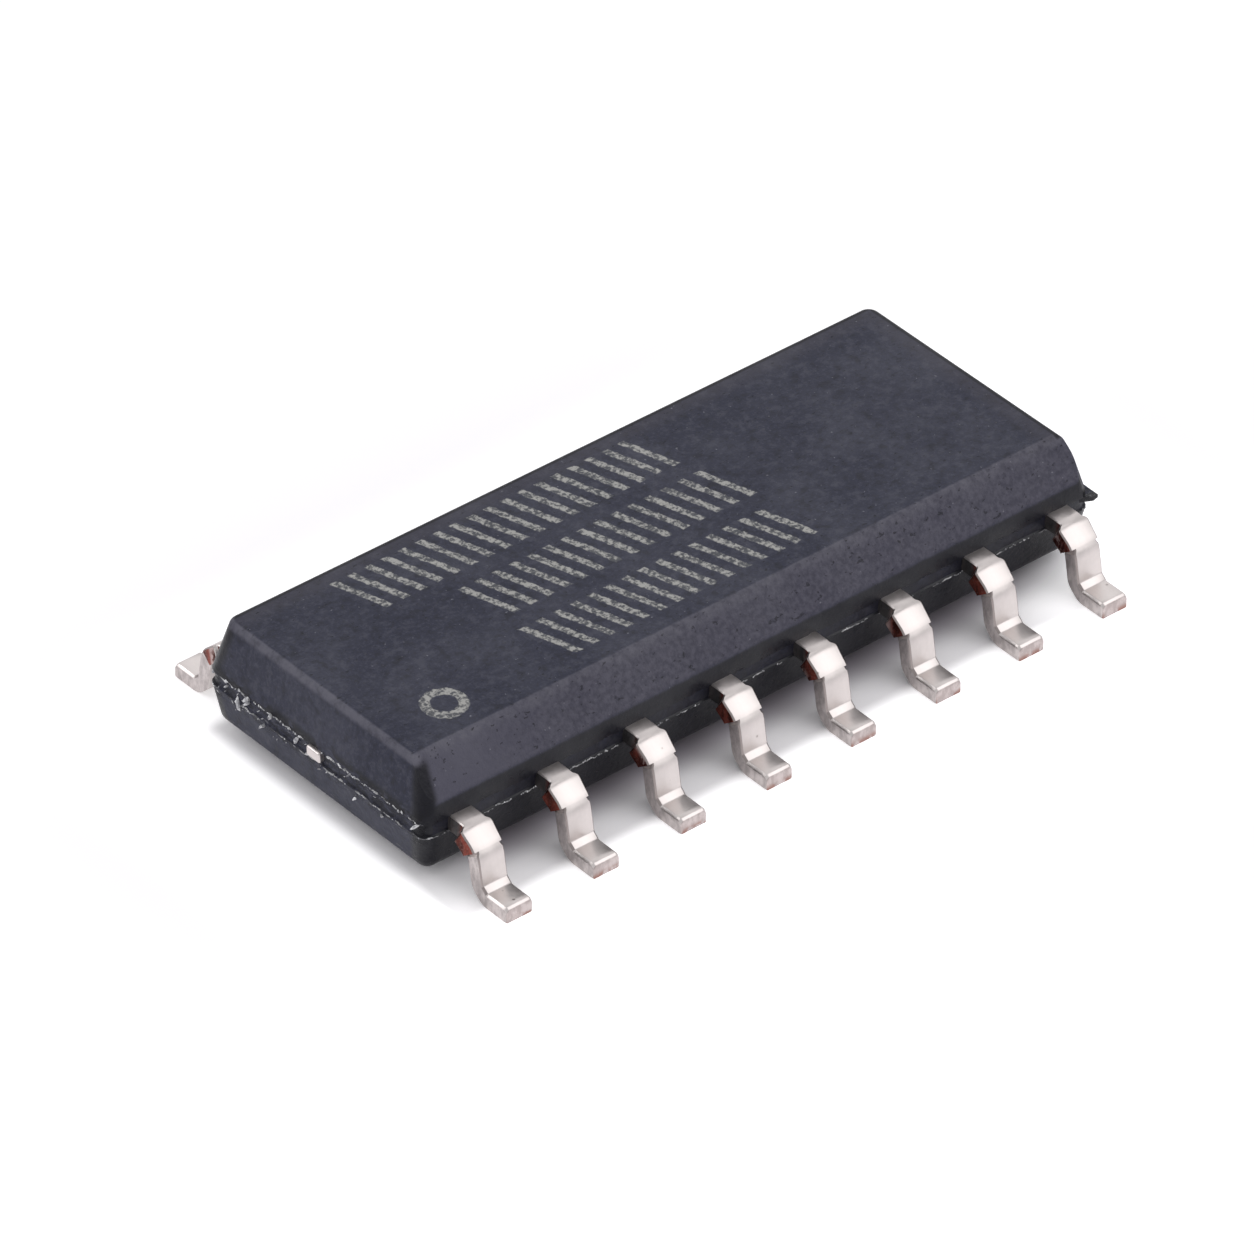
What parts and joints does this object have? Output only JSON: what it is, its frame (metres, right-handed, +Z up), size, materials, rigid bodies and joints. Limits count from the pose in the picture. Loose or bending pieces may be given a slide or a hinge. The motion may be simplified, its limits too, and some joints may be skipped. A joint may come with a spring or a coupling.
{
  "type": "small-outline integrated circuit",
  "caption": "Small-outline surface-mount chip: dark moulded body with one bevelled long edge, gull-wing leads along both long sides, die and bond wires sealed inside.",
  "frame": {"origin": "middle of the footprint, on the plane of the board that the feet stand on", "axes": "+X along the body from the end of lead 1 to the end of lead 8, +Y towards leads 9 to 16, +Z up out of the board"},
  "size_m": [0.01, 0.006, 0.0016],
  "materials": {
    "moulding": "matte, fine filler grain",
    "tin_plate": "matte tin plating over copper alloy",
    "copper": "bare rolled copper alloy, tin-plated where it leaves the body",
    "die_glue": "silver-filled adhesive",
    "silicon": "polished silicon",
    "gold_wire": "drawn gold"
  },
  "bodies": {
    "root": {"mould_body": "moulding", "die_paddle": "copper", "die_adhesive": "die_glue", "silicon_die": "silicon", "lead_1": "tin_plate", "lead_2": "tin_plate", "lead_3": "tin_plate", "lead_4": "tin_plate", "lead_5": "tin_plate", "lead_6": "tin_plate", "lead_7": "tin_plate", "lead_8": "tin_plate", "lead_9": "tin_plate", "lead_10": "tin_plate", "lead_11": "tin_plate", "lead_12": "tin_plate", "lead_13": "tin_plate", "lead_14": "tin_plate", "lead_15": "tin_plate", "lead_16": "tin_plate", "bond_wire_1": "gold_wire", "bond_wire_2": "gold_wire", "bond_wire_3": "gold_wire", "bond_wire_4": "gold_wire", "bond_wire_5": "gold_wire", "bond_wire_6": "gold_wire", "bond_wire_7": "gold_wire", "bond_wire_8": "gold_wire", "bond_wire_9": "gold_wire", "bond_wire_10": "gold_wire", "bond_wire_11": "gold_wire", "bond_wire_12": "gold_wire", "bond_wire_13": "gold_wire", "bond_wire_14": "gold_wire", "bond_wire_15": "gold_wire", "bond_wire_16": "gold_wire"}
  },
  "joints": []
}
